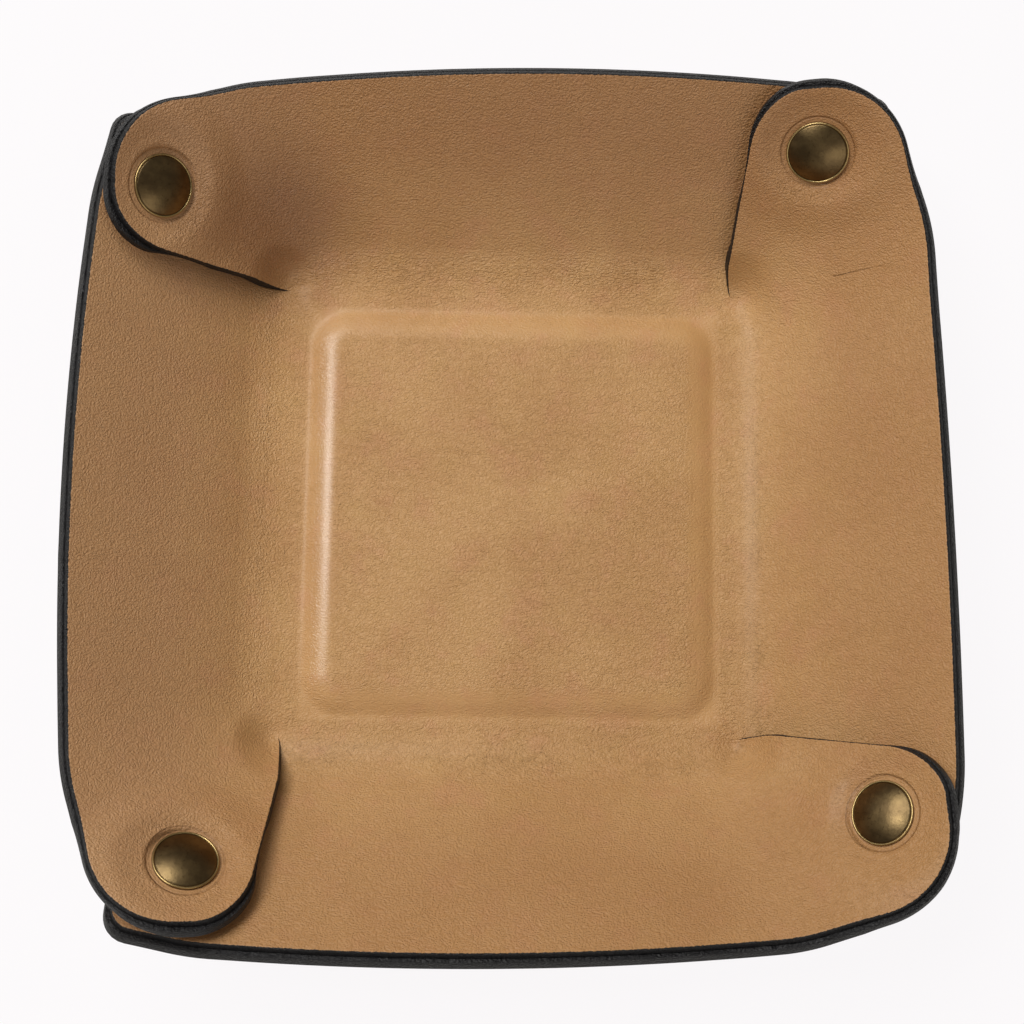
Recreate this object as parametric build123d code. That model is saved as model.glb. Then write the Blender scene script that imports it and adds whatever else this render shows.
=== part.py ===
# Leather valet tray: one slit square of two laminated leathers, folded up and snapped at its four corners.
# Millimetres, +Z up.  The origin is the centre of the underside, +Y is the back wall, -Y the front wall.
# Each wall ends in a rounded lobe that laps over the plain tip of the next wall, turning the same way
# round all four corners.  A board between the two leathers raises the panel of the floor.
# Every side is the back wall turned about Z, so all shapes below are written for the back wall.

import os
from math import acos, asin, atan2, cos, hypot, pi, radians, sin, sqrt, tan

from build123d import *

# Leather
lining_thickness = 1.8
outer_thickness = 1.8
bend_radius = 22.0            # inside radius of the fold between floor and wall
wall_angle = 42.0             # slope of a snapped wall, in degrees
fold_half_width = 52.5        # centre of the floor to the start of the bend
slit_past_fold = 4.0          # from the start of the bend out to the slit end, along X and along Y

# Rim of a wall, measured in plan
rim_reach = 100.6             # centre of the tray out to the rim's middle
rim_drop = 3.2                # how far the rim draws in where the lobe begins
tip_inset = 4.0               # from the middle of the rim in to the plain tip
tip_setback = 8.0             # from the next wall's rim back to the plain tip
tip_round = 6.0

# Lobe
lobe_radius = 15.8            # round end, about the snap
lobe_root = 2.2               # from the slit end to the line on which the lobe bends
lobe_bow = 1.4                # swell of the lobe's rim edge beyond its chord
tip_ease = 10.0               # how much later a plain tip starts to round the corner

# Floor panel
panel_foot_inset = 0.3        # from the start of the bend in to the panel's foot
panel_edge_run = 5.2          # from the panel's foot in to its flat top, in plan
panel_corner_radius = 5.0
board_thickness = 2.4

# Snap, placed in plan from the rims of both walls
snap_lapped_inset = 16.3      # in from the rim of the wall that is lapped over
snap_own_inset = 28.6         # in from the rim of the wall that owns the lobe
seat_press = 0.4              # how deep the metal is pressed into the leather
shank_clearance = 0.1

cap_radius = 7.5
cap_skirt = 0.7
cap_crown = 1.6
cap_shank_radius = 1.6
cap_roll_radius = 2.3
cap_roll_height = 0.4

socket_flange_radius = 5.7
socket_flange = 0.6
socket_barrel_radius = 4.6
socket_bore_radius = 3.1
socket_height = 3.4
spring_wire_radius = 0.25
spring_height = 0.7           # middle of the wire above the socket's mouth
spring_gap_angle = 40.0

stud_flange_radius = 5.0
stud_flange = 0.8
stud_neck_radius = 2.3
stud_neck = 0.7
stud_head_radius = 2.65
stud_height = 1.65            # above its flange
stud_round = 0.5
stud_bore = 1.2
mouth_clearance = 0.15        # between the socket's mouth and the stud's flange

post_head_radius = 5.2
post_head = 0.8
post_dome = 0.5
post_shank_radius = 1.3

# Gaps between bodies that move
fold_gap = 0.2
lobe_gap = 0.2
slit_gap = 0.3

overrun = 30.0                # how far cutting shapes pass the leather

# Sizes that follow from the ones above
leather = lining_thickness + outer_thickness
slope = radians(wall_angle)
half_slope = slope / 2
bend_centre_height = leather + bend_radius
outside_radius = bend_radius + leather
crease_run = bend_radius * tan(half_slope)        # start of the bend to where the flat parts would meet
fold_axis_out = fold_half_width + outside_radius * sin(half_slope)
fold_axis_height = outside_radius * (1 - cos(half_slope))
full_width = 2 * rim_reach
slit_half_width = fold_half_width + slit_past_fold
panel_foot_half_width = fold_half_width - panel_foot_inset
panel_top_half_width = panel_foot_half_width - panel_edge_run
lobe_line = slit_half_width + lobe_root
tip_along = rim_reach - tip_setback
tip_reach = rim_reach - tip_inset

# Snap's distances from the start of the bend of both walls
snap_out = rim_reach - snap_lapped_inset - fold_half_width
snap_aside = rim_reach - snap_own_inset - fold_half_width
snap_spacing = leather + socket_height + stud_flange + mouth_clearance - 2 * seat_press
tip_distance = hypot(snap_out, snap_aside - tip_ease)
lobe_distance = tip_distance + snap_spacing / sin(slope)
lobe_shift = sqrt(lobe_distance ** 2 - snap_aside ** 2) - snap_out
lobe_centre = fold_half_width - lobe_shift        # where the back wall starts to round its lobe's corner
tip_centre = fold_half_width + tip_ease


def rise(distance):
    """Height of the inner face, over the floor's, at a distance beyond the start of the bend."""
    bend_end = bend_radius * sin(slope)
    if distance <= 0:
        return 0
    if distance < bend_end:
        return bend_radius - sqrt(bend_radius ** 2 - distance ** 2)
    return (distance - crease_run) * tan(slope)


def layer_profile(x, top_depth, bottom_depth):
    """Section of one leather across a wall, between two depths below the inner face, at a place along X."""
    plane = Plane(origin=(x, fold_half_width, 0), x_dir=(0, 1, 0), z_dir=(1, 0, 0))
    top_radius = bend_radius + top_depth
    bottom_radius = bend_radius + bottom_depth
    centre = (0, bend_centre_height)
    run = full_width
    top_arc = CenterArc(centre, top_radius, -90, wall_angle)
    bottom_arc = CenterArc(centre, bottom_radius, -90, wall_angle)
    step = Vector(run * cos(slope), run * sin(slope))
    top_end = top_arc @ 1 + step
    bottom_end = bottom_arc @ 1 + step
    edges = Curve() + [
        top_arc,
        Line(top_arc @ 1, top_end),
        Line(top_end, bottom_end),
        Line(bottom_end, bottom_arc @ 1),
        bottom_arc,
        Line(bottom_arc @ 0, top_arc @ 0),
    ]
    return plane * make_face(edges)


def rounded_corner(x, top_depth, bottom_depth, turn):
    """The same section turned about the upright line where the corner starts to round."""
    axis = Axis((x, fold_half_width, 0), (0, 0, 1))
    return revolve(layer_profile(x, top_depth, bottom_depth), axis, revolution_arc=turn)


def straight_run(x_from, x_to, top_depth, bottom_depth):
    return extrude(layer_profile(x_from, top_depth, bottom_depth), amount=x_to - x_from, dir=(1, 0, 0))


def half_space(origin, direction):
    """A block that fills the side of a plane that the direction points to."""
    plane = Plane(origin=origin, z_dir=direction)
    size = 2 * full_width
    return plane * Box(size, size, size, align=(Align.CENTER, Align.CENTER, Align.MIN))


def sides(shape):
    """The back wall's shape turned to all four sides: back, left, front, right."""
    return [Rot(0, 0, 90 * turn) * shape for turn in range(len(side_names))]


side_names = ["back", "left", "front", "right"]
layers = {
    "lining": (0, lining_thickness),
    "outer": (lining_thickness, leather),
}

# The fold line: a plane across the middle of the bend, through the axis on the outer face
fold_axis = Vector(0, fold_axis_out, fold_axis_height)
fold_outward = Vector(0, cos(half_slope), sin(half_slope))


# Snap frame: on the lobe's inner face, its axis halfway between the two leathers' normals
snap_height = leather + rise(lobe_distance)
lobe_heading = atan2(snap_aside, snap_out + lobe_shift)
tip_heading = atan2(snap_aside - tip_ease, snap_out)
snap_heading = (lobe_heading + tip_heading) / 2
snap_origin = Vector(-fold_half_width - snap_out, fold_half_width + snap_aside, snap_height)
snap_axis = Vector(sin(slope) * cos(snap_heading), -sin(slope) * sin(snap_heading), cos(slope))
up_slope = Vector(-cos(slope) * cos(snap_heading), cos(slope) * sin(snap_heading), sin(slope))
snap_plane = Plane(origin=snap_origin, x_dir=up_slope.cross(snap_axis), z_dir=snap_axis)

# Heights along the snap's axis, from the lobe's inner face
cap_seat = -seat_press
socket_seat = seat_press - leather
socket_mouth = socket_seat - socket_height
stud_seat = -snap_spacing - seat_press
stud_bore_top = stud_seat + stud_bore
post_seat = seat_press - snap_spacing - leather


def on_snap(radius, low, high):
    """A round plug along the snap's axis between two heights."""
    plug = Cylinder(radius, high - low, align=(Align.CENTER, Align.CENTER, Align.MIN))
    return snap_plane * Pos(0, 0, low) * plug


def turned(edges):
    """A turned piece: a half section in the snap's frame, spun about the snap's axis."""
    return snap_plane * revolve(Plane.XZ * make_face(Curve() + edges), Axis.Z)


def turned_outline(points):
    return turned([Polyline(*points, close=True)])


# Wall outline, in the wall's own plane: u along the fold, v up the slope from the crease
wall_normal = Vector(0, -sin(slope), cos(slope))
wall_plane = Plane(
    origin=(0, fold_half_width + crease_run, leather), x_dir=(1, 0, 0), z_dir=wall_normal
)


def inner_point(x, y, centre_x):
    """A point of the inner face above a place in plan, where the corner rounds about centre_x."""
    aside = max(abs(x) - centre_x, 0)
    return Vector(x, y, leather + rise(hypot(aside, y - fold_half_width)))


def flat(plane, point):
    """The place of a point in a plane's own two directions."""
    local = plane.to_local_coords(point)
    return Vector(local.X, local.Y)


rim_middle = inner_point(0, rim_reach, full_width)
rim_lobe_end = inner_point(-lobe_line, rim_reach - rim_drop, lobe_centre)
lobe_slit_end = inner_point(-slit_half_width, slit_half_width + slit_gap, lobe_centre)
lobe_foot = inner_point(-lobe_line, slit_half_width + slit_gap, lobe_centre)
tip_corner = inner_point(tip_along, tip_reach, tip_centre)
tip_slit_end = inner_point(slit_half_width, slit_half_width, tip_centre)
tip_rim_end = inner_point(lobe_line, rim_reach - rim_drop / 2, tip_centre)


def wall_prism():
    """Everything over and under the wall's outline, along the wall's normal."""
    lobe_end = flat(wall_plane, rim_lobe_end)
    middle = flat(wall_plane, rim_middle)
    tip_start = flat(wall_plane, tip_rim_end)
    tip = flat(wall_plane, tip_corner)
    slit = flat(wall_plane, tip_slit_end)
    low_right = Vector(slit.X, slit.Y - overrun)
    low_left = Vector(-full_width, slit.Y - overrun)
    high_left = Vector(-full_width, lobe_end.Y)
    rim = ThreePointArc(lobe_end, middle, tip_start)
    edges = [rim] + [
        Line(a, b)
        for a, b in [
            (tip_start, tip),
            (tip, slit),
            (slit, low_right),
            (low_right, low_left),
            (low_left, high_left),
            (high_left, lobe_end),
        ]
    ]
    shape = make_face(Curve() + edges)
    corner = shape.vertices().sort_by_distance(tip)[0]
    shape = fillet(corner, tip_round)
    return wall_plane * extrude(shape, amount=full_width, both=True)


def touch_angle(point, side):
    """Where a line from a point touches the lobe's round end, as an angle about the snap."""
    return atan2(point.Y, point.X) + side * acos(lobe_radius / point.length)


def round_end(angle):
    return Vector(cos(angle), sin(angle)) * lobe_radius


def lobe_prism():
    """Everything over and under the lobe's outline, along the snap's axis."""
    slit_end = flat(snap_plane, lobe_slit_end)
    rim_end = flat(snap_plane, rim_lobe_end)
    free_angle = touch_angle(slit_end, -1) + 2 * pi
    rim_angle = touch_angle(rim_end, 1)
    free_touch = round_end(free_angle)
    rim_touch = round_end(rim_angle)
    chord = rim_touch - rim_end
    swell = Vector(chord.Y, -chord.X).normalized() * lobe_bow
    inside = Vector(rim_end.X, slit_end.Y)
    shape = make_face(Curve() + [
        Line(slit_end, free_touch),
        ThreePointArc(free_touch, round_end((free_angle + rim_angle) / 2), rim_touch),
        ThreePointArc(rim_touch, (rim_touch + rim_end) / 2 + swell, rim_end),
        Line(rim_end, inside),
        Line(inside, slit_end),
    ])
    return snap_plane * extrude(shape, amount=overrun, both=True)


# Cuts in the leather for the metal of a snap
lobe_cuts = [
    on_snap(cap_shank_radius + shank_clearance, -overrun, overrun),
    on_snap(cap_radius + shank_clearance, cap_seat, overrun),
    on_snap(socket_flange_radius + shank_clearance, -overrun, socket_seat),
]
tip_cuts = [
    Rot(0, 0, -90) * cut
    for cut in [
        on_snap(post_shank_radius + shank_clearance, -overrun, overrun),
        on_snap(stud_flange_radius + shank_clearance, stud_seat, overrun),
        on_snap(post_head_radius + shank_clearance, -overrun, post_seat),
    ]
]


def wall_layer(top_depth, bottom_depth):
    sheet = (
        straight_run(-lobe_centre, tip_centre, top_depth, bottom_depth)
        + rounded_corner(-lobe_centre, top_depth, bottom_depth, 90)
        + rounded_corner(tip_centre, top_depth, bottom_depth, -90)
    )
    sheet = sheet & wall_prism()
    sheet -= half_space((lobe_gap / 2 - lobe_line, 0, 0), (-1, 0, 0))
    beside_slit = half_space((-slit_half_width - slit_gap, 0, 0), (-1, 0, 0)) & half_space(
        (0, slit_half_width + slit_gap, 0), (0, 1, 0)
    )
    room = half_space(fold_axis + fold_outward * (fold_gap / 2), fold_outward) + beside_slit
    sheet = sheet & room
    for cut in tip_cuts:
        sheet -= cut
    return sheet


def lobe_layer(top_depth, bottom_depth):
    sheet = rounded_corner(-lobe_centre, top_depth, bottom_depth, 90)
    sheet = sheet & lobe_prism()
    sheet = sheet & half_space((-lobe_line - lobe_gap / 2, 0, 0), (-1, 0, 0))
    for cut in lobe_cuts:
        sheet -= cut
    return sheet


def floor_layer(top_depth, bottom_depth):
    """The floor with the lower half of each fold, notched at its corners for the slits."""
    low = leather - bottom_depth
    sheet = Pos(0, 0, low) * Box(
        2 * fold_half_width,
        2 * fold_half_width,
        bottom_depth - top_depth,
        align=(Align.CENTER, Align.CENTER, Align.MIN),
    )
    strip = straight_run(-fold_half_width, fold_half_width, top_depth, bottom_depth)
    strip += rounded_corner(-fold_half_width, top_depth, bottom_depth, 90)
    inner_edge = fold_axis - fold_outward * (fold_gap / 2)
    past_fold = half_space(inner_edge, fold_outward)
    notch = half_space((-slit_half_width, 0, 0), (-1, 0, 0)) & half_space(
        (0, slit_half_width, 0), (0, 1, 0)
    )
    for piece in sides(strip):
        sheet += piece
    for cut in sides(past_fold) + sides(notch):
        sheet -= cut
    return sheet


def panel(bottom):
    """The raised square of the floor, with sloping edges."""
    steps = [
        (panel_foot_half_width, bottom),
        (panel_top_half_width, bottom + board_thickness),
    ]
    return loft([
        Pos(0, 0, height) * RectangleRounded(2 * half_width, 2 * half_width, panel_corner_radius)
        for half_width, height in steps
    ])


def dome_arc(radius, height, crown):
    """Half of a shallow dome's section, from its rim at a height to the axis; a negative crown hangs."""
    sphere_radius = (radius ** 2 + crown ** 2) / (2 * abs(crown))
    side = 1 if crown > 0 else -1
    half_angle = asin(radius / sphere_radius) / 2
    middle_height = height + crown - side * sphere_radius * (1 - cos(half_angle))
    middle = (sphere_radius * sin(half_angle), middle_height)
    return ThreePointArc((radius, height), middle, (0, height + crown))


def cap():
    """Domed cap on a shank that is rolled over inside the socket."""
    roll_top = socket_seat - socket_flange
    roll_bottom = roll_top - cap_roll_height
    skirt_top = cap_seat + cap_skirt
    dome = dome_arc(cap_radius, skirt_top, cap_crown)
    return turned([
        Line((0, roll_bottom), (cap_roll_radius, roll_bottom)),
        Line((cap_roll_radius, roll_bottom), (cap_roll_radius, roll_top)),
        Line((cap_roll_radius, roll_top), (cap_shank_radius, roll_top)),
        Line((cap_shank_radius, roll_top), (cap_shank_radius, cap_seat)),
        Line((cap_shank_radius, cap_seat), (cap_radius, cap_seat)),
        Line((cap_radius, cap_seat), (cap_radius, skirt_top)),
        dome,
        Line((0, skirt_top + cap_crown), (0, roll_bottom)),
    ])


def socket():
    """Flanged cup, open towards the stud, with a groove for its spring."""
    flange_low = socket_seat - socket_flange
    groove = spring_wire_radius + mouth_clearance / 2
    groove_middle = socket_mouth + spring_height
    hole_radius = cap_shank_radius + shank_clearance
    return turned_outline([
        (hole_radius, socket_seat),
        (socket_flange_radius, socket_seat),
        (socket_flange_radius, flange_low),
        (socket_barrel_radius, flange_low),
        (socket_barrel_radius, socket_mouth),
        (socket_bore_radius, socket_mouth),
        (socket_bore_radius, groove_middle - groove),
        (socket_bore_radius + 2 * groove, groove_middle - groove),
        (socket_bore_radius + 2 * groove, groove_middle + groove),
        (socket_bore_radius, groove_middle + groove),
        (socket_bore_radius, flange_low),
        (hole_radius, flange_low),
    ])


def socket_spring():
    """Open ring of wire in the socket's groove."""
    height = socket_mouth + spring_height
    wire = Pos(socket_bore_radius + spring_wire_radius, 0, height) * (
        Plane.XZ * Circle(spring_wire_radius)
    )
    return snap_plane * revolve(wire, Axis.Z, revolution_arc=360 - spring_gap_angle)


def stud():
    """Flanged stud with a waist and a rounded head, bored for its post."""
    flange_top = stud_seat + stud_flange
    head_low = flange_top + stud_neck
    top = flange_top + stud_height
    corner = (stud_head_radius - stud_round, top - stud_round)
    head_round = CenterArc(corner, stud_round, 0, 90)
    return turned([
        Line((post_shank_radius, stud_seat), (stud_flange_radius, stud_seat)),
        Line((stud_flange_radius, stud_seat), (stud_flange_radius, flange_top)),
        Line((stud_flange_radius, flange_top), (stud_neck_radius, flange_top)),
        Line((stud_neck_radius, flange_top), (stud_head_radius, head_low)),
        Line((stud_head_radius, head_low), head_round @ 0),
        head_round,
        Line(head_round @ 1, (0, top)),
        Line((0, top), (0, stud_bore_top)),
        Line((0, stud_bore_top), (post_shank_radius, stud_bore_top)),
        Line((post_shank_radius, stud_bore_top), (post_shank_radius, stud_seat)),
    ])


def post():
    """Domed post whose shank passes through the wall into the stud."""
    low = post_seat - post_head
    return turned([
        dome_arc(post_head_radius, low, -post_dome),
        Line((post_head_radius, low), (post_head_radius, post_seat)),
        Line((post_head_radius, post_seat), (post_shank_radius, post_seat)),
        Line((post_shank_radius, post_seat), (post_shank_radius, stud_bore_top)),
        Line((post_shank_radius, stud_bore_top), (0, stud_bore_top)),
        Line((0, stud_bore_top), (0, low - post_dome)),
    ])


def build():
    """Every node's shape by name."""
    nodes = {"base_board": panel(outer_thickness)}
    for layer, (top_depth, bottom_depth) in layers.items():
        floor = floor_layer(top_depth, bottom_depth)
        if layer == "lining":
            floor = floor + panel(leather) - panel(outer_thickness)
        nodes["base_" + layer] = floor
        for side, shape in zip(side_names, sides(wall_layer(top_depth, bottom_depth))):
            nodes[f"wall_{side}_{layer}"] = shape
        for side, shape in zip(side_names, sides(lobe_layer(top_depth, bottom_depth))):
            nodes[f"lobe_{side}_{layer}"] = shape
    for name, shape in [("cap", cap()), ("socket", socket()), ("socket_spring", socket_spring())]:
        for side, placed in zip(side_names, sides(shape)):
            nodes[f"{name}_{side}"] = placed
    # A lobe's stud stands on the wall that the lobe laps over, the next one round
    next_sides = side_names[1:] + side_names[:1]
    for name, shape in [("stud", stud()), ("post", post())]:
        for side, placed in zip(next_sides, sides(shape)):
            nodes[f"{name}_{side}"] = placed
    return nodes


def main():
    os.makedirs("parts", exist_ok=True)
    for name, shape in build().items():
        export_step(shape, f"parts/{name}.step")
    lobe_direction = (rim_lobe_end - lobe_foot).normalized()
    print("fold axis of the back wall", fold_axis)
    print("lobe axis of the back wall", lobe_foot, lobe_direction)
    print("snap", snap_origin, snap_axis)


if __name__ == "__main__":
    main()
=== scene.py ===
# Looks of the leather valet tray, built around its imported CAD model.
# Lengths in this file are millimetres until a mesh is made, +Z up, with the back wall towards +Y.
# Every wall and lobe is written for the back wall, and is then turned to its own side.

from math import acos, atan, atan2, cos, hypot, pi, radians, sin, tan

import bmesh
import bpy
import numpy as np
from mathutils import Matrix, Vector


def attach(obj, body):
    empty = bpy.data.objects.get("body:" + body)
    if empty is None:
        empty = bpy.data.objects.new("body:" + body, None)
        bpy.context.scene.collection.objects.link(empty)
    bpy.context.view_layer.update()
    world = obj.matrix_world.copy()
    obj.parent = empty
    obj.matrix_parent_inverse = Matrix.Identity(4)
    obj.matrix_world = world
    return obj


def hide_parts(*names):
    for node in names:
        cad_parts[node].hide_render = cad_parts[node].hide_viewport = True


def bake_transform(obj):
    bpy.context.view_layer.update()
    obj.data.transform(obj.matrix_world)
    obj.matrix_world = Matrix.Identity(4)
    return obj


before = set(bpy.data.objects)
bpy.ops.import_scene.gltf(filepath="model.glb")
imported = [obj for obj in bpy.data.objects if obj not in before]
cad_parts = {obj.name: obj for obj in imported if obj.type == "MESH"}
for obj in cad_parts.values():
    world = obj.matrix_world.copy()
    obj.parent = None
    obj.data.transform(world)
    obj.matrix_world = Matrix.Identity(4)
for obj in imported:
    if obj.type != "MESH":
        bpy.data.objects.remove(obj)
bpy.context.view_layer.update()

MM = 0.001
SIDES = ["back", "left", "front", "right"]

# Leather
LINING = 1.8
OUTER = 1.8
LEATHER = LINING + OUTER
BEND_RADIUS = 22.0
SLOPE = radians(42.0)
BEND_START = 52.5             # centre of the floor to the start of the bend
SLIT_END = 56.5               # centre of the floor to the slit end, both ways
CREASE_RUN = BEND_RADIUS * tan(SLOPE / 2)
LOBE_CORNER = 45.0119         # where the lobe's side starts to round its corner
TIP_CORNER = 62.5             # where the tip's side starts to round its corner
SLIT_EASE = 10.0              # how far from the slit end the two leathers part

# Rim in plan
LOBE_LINE = 58.7
# Reach at the middle, lean per mm, drop per square mm, extra drop near the lobe
RIM = {
    "back": (100.45, 0.0215, 0.00059, 0.0035),
    "left": (100.65, 0.0040, 0.00058, 0.0015),
    "front": (102.60, 0.0180, 0.00058, 0.0010),
    "right": (99.40, 0.0240, 0.00020, 0.0015),
}
RIM_TURN = 46.0               # where the extra drop begins
# The tip's two corners: beside the slit, and at the rim
TIP = {
    "back": ((89.6, 85.5), (87.4, 94.8)),
    "left": ((88.2, 84.4), (88.2, 93.4)),
    "front": ((86.8, 85.0), (86.6, 97.4)),
    "right": ((88.6, 85.0), (87.0, 94.4)),
}
TIP_SHOULDER = 11.0           # how far past its line the tip's rim begins to turn
TIP_ROUNDS = (9.0, 5.0, 62.0)

# Lobe in plan: where the free edge levels out, the end's lower corner, its upper corner
LOBE = {
    "back": ((-61.9, 56.6), (-93.7, 58.0), (-93.6, 85.4)),
    "left": ((-66.0, 54.9), (-96.0, 58.5), (-96.0, 86.3)),
    "front": ((-63.5, 55.1), (-95.7, 58.2), (-95.7, 88.1)),
    "right": ((-63.0, 54.7), (-95.9, 57.0), (-95.9, 85.1)),
}
SHOULDER = 6.0                # how far past its line the lobe's rim begins to turn
LOBE_ROUNDS = (8.0, 11.0, 21.0, 48.0)

# Panel
PANEL_FOOT = 52.2
PANEL_RISE = 2.4
PANEL_CORNER = 10.5
PANEL_SLOPE = tan(radians(25.0))
PANEL_HOLLOW = 1.6            # run of the hollow at the foot
PANEL_SHOULDER = 5.6          # run of the round shoulder at the top
PANEL_RUN = PANEL_RISE / PANEL_SLOPE + (PANEL_HOLLOW + PANEL_SHOULDER) / 2

# Snap
SNAP = Vector((-84.3, 72.0, 35.5006))
SNAP_AXIS = Vector((0.622525, -0.245354, 0.743145)).normalized()
SEAT = 0.4                    # depth of the cap's seat in the leather
SEAT_RADIUS = 8.3
SEAT_LIP = 0.8
DISH = 1.3                    # how far the leather stands up in a ring around the cap
DISH_RISE = (9.0, 6.5)        # start and run of the ring's inner side, from the snap's axis
DISH_FALL = (14.5, 9.5)

# Cut edges
EDGE_ROUND = 0.50
GROOVE = 0.06
SWELL_REACH = 4.0
# How much thicker the painted edge is, and how far the outer leather stands out past the lining
SWELL = {"back": 0.35, "left": 0.8, "front": 0.9, "right": 0.5}
LIP = {"back": 0.10, "left": 0.30, "front": 1.0, "right": 0.25}
# The same round the lobe's end: at the free edge, in the middle, at the rim
LOBE_LIP = {
    "back": (1.1, 0.5, 0.2),
    "left": (0.9, 1.3, 0.4),
    "front": (0.3, 0.6, 1.1),
    "right": (0.6, 0.8, 0.4),
}
LOBE_SWELL = 0.45             # share of the swell round the lobe's end
PAINT_START = {"lining": 0.22, "outer": -1.6}    # how far round the edge the paint begins
FAR = 50.0                    # a distance at which neither paint nor snap shows


def smooth(t):
    """A soft step from 0 to 1."""
    t = np.clip(t, 0.0, 1.0)
    return t * t * (3.0 - 2.0 * t)


def rise(distance):
    """Height of the inner face over the floor's, at a distance beyond the start of the bend."""
    d = np.maximum(distance, 0.0)
    bend_end = BEND_RADIUS * sin(SLOPE)
    curved = BEND_RADIUS - np.sqrt(BEND_RADIUS ** 2 - np.minimum(d, bend_end) ** 2)
    return np.where(d < bend_end, curved, (d - CREASE_RUN) * tan(SLOPE))


def lobe_side(x, y):
    """Inner face of a wall towards its lobe."""
    aside = np.maximum(-x - LOBE_CORNER, 0.0) * smooth((y - 44.0) / 8.5)
    return rise(np.hypot(aside, np.maximum(y - BEND_START, 0.0)))


def tip_side(x, y):
    """Inner face of a wall towards its plain tip."""
    return rise(np.hypot(np.maximum(x - TIP_CORNER, 0.0), np.maximum(y - BEND_START, 0.0)))


def parted(x, y):
    """Inner face above the slit at the corner (-X, +Y): one leather at the slit end, two beyond it."""
    under = tip_side(y, -x)
    over = lobe_side(x, y)
    away = smooth(np.hypot(x + SLIT_END, y - SLIT_END) / SLIT_EASE)
    return under + (over - under) * away


def corner_floor(x, y):
    """Floor near the corner (-X, +Y), from the lobe's side of the slit round to the tip's side."""
    angle = np.degrees(np.arctan2(x + SLIT_END, SLIT_END - y))
    share = smooth((angle - 10.0) / 70.0)
    return tip_side(y, -x) * (1.0 - share) + parted(x, y) * share


def inside_panel(x, y):
    """How far inside the raised square's foot a place is."""
    half = PANEL_FOOT - PANEL_CORNER
    dx = np.abs(x) - half
    dy = np.abs(y) - half
    outside = np.hypot(np.maximum(dx, 0.0), np.maximum(dy, 0.0)) + np.minimum(np.maximum(dx, dy), 0.0)
    return np.maximum(PANEL_CORNER - outside, 0.0)


def panel_height(x, y):
    """The raised square of the floor: hollow foot, even slope, round shoulder."""
    inside = inside_panel(x, y)
    hollow = np.minimum(inside, PANEL_HOLLOW)
    before_top = np.clip(PANEL_RUN - inside, 0.0, PANEL_SHOULDER)
    climb = hollow ** 2 / (2 * PANEL_HOLLOW)
    climb = climb + np.clip(inside - PANEL_HOLLOW, 0.0, PANEL_RUN - PANEL_HOLLOW)
    saved = (PANEL_SHOULDER - before_top) ** 2 / (2 * PANEL_SHOULDER)
    return PANEL_SLOPE * (climb - saved)


def burnished(x, y):
    """Where the raised square's slopes and its surround are rubbed smooth."""
    inside = inside_panel(x, y)
    outside = np.maximum(np.abs(x), np.abs(y)) - PANEL_FOOT
    return smooth((1.5 - outside) / 3.0) * (1.0 - smooth((inside - PANEL_RUN + 3.5) / 4.0))


def quarter_turn(x, y, turns):
    """A place turned about the centre by quarters, counter-clockwise seen from above."""
    for _ in range(turns % 4):
        x, y = -y, x
    return x, y


def floor_height(x, y):
    """Inner face of the floor without its panel."""
    height = np.zeros_like(x)
    quadrants = [(x <= 0) & (y > 0), (x < 0) & (y <= 0), (x >= 0) & (y < 0), (x > 0) & (y >= 0)]
    for turns, chosen in enumerate(quadrants):
        cx, cy = quarter_turn(x, y, -turns)
        height = np.where(chosen, corner_floor(cx, cy), height)
    return height


def lining_floor(x, y):
    """Inner face of the floor with its panel."""
    return floor_height(x, y) + panel_height(x, y)


def wall_height(x, y):
    """Inner face of a wall, from its lobe's line to its tip."""
    return np.where(x < 0, parted(x, y), tip_side(x, y))


# Snap frame: heights are measured from the lobe's inner face
HEADING = atan2(-SNAP_AXIS.y, SNAP_AXIS.x)
UP_SLOPE = Vector((-cos(SLOPE) * cos(HEADING), cos(SLOPE) * sin(HEADING), sin(SLOPE)))
ACROSS = UP_SLOPE.cross(SNAP_AXIS)


def in_snap_frame(x, y, z):
    """A place's distances from the snap's axis, across and up the slope."""
    point = Vector((x, y, z)) - SNAP
    return point.dot(ACROSS), point.dot(UP_SLOPE)


def lobe_height(x, y):
    """Inner face of the lobe, pressed flat under the cap."""
    seat = SNAP - SNAP_AXIS * SEAT
    level = seat.z - LEATHER - ((x - seat.x) * SNAP_AXIS.x + (y - seat.y) * SNAP_AXIS.y) / SNAP_AXIS.z
    px, py, pz = x - SNAP.x, y - SNAP.y, level + LEATHER - SNAP.z
    a = px * ACROSS.x + py * ACROSS.y + pz * ACROSS.z
    b = px * UP_SLOPE.x + py * UP_SLOPE.y + pz * UP_SLOPE.z
    from_snap = np.hypot(a, b)
    (rise_start, rise_run), (fall_start, fall_run) = DISH_RISE, DISH_FALL
    dished = smooth((from_snap - rise_start) / rise_run)
    dished = dished * (1.0 - smooth((from_snap - fall_start) / fall_run))
    free = parted(x, y) + DISH * dished
    pressed = 1.0 - smooth((from_snap - SEAT_RADIUS) / SEAT_LIP)
    return free + (level - free) * pressed


def creased_wall_height(x, y):
    """The left wall, with the faint crease that runs up it."""
    middle = -11.0 - 0.11 * (y - BEND_START)
    crease = np.exp(-((x - middle) / 2.4) ** 2) * smooth((y - 50.0) / 6.0)
    return wall_height(x, y) + 0.16 * crease


# Outlines in plan
def line(a, b, count):
    """Evenly spaced points from one place to another."""
    t = np.linspace(0.0, 1.0, count)[:, None]
    return np.asarray(a, float) * (1.0 - t) + np.asarray(b, float) * t


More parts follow.
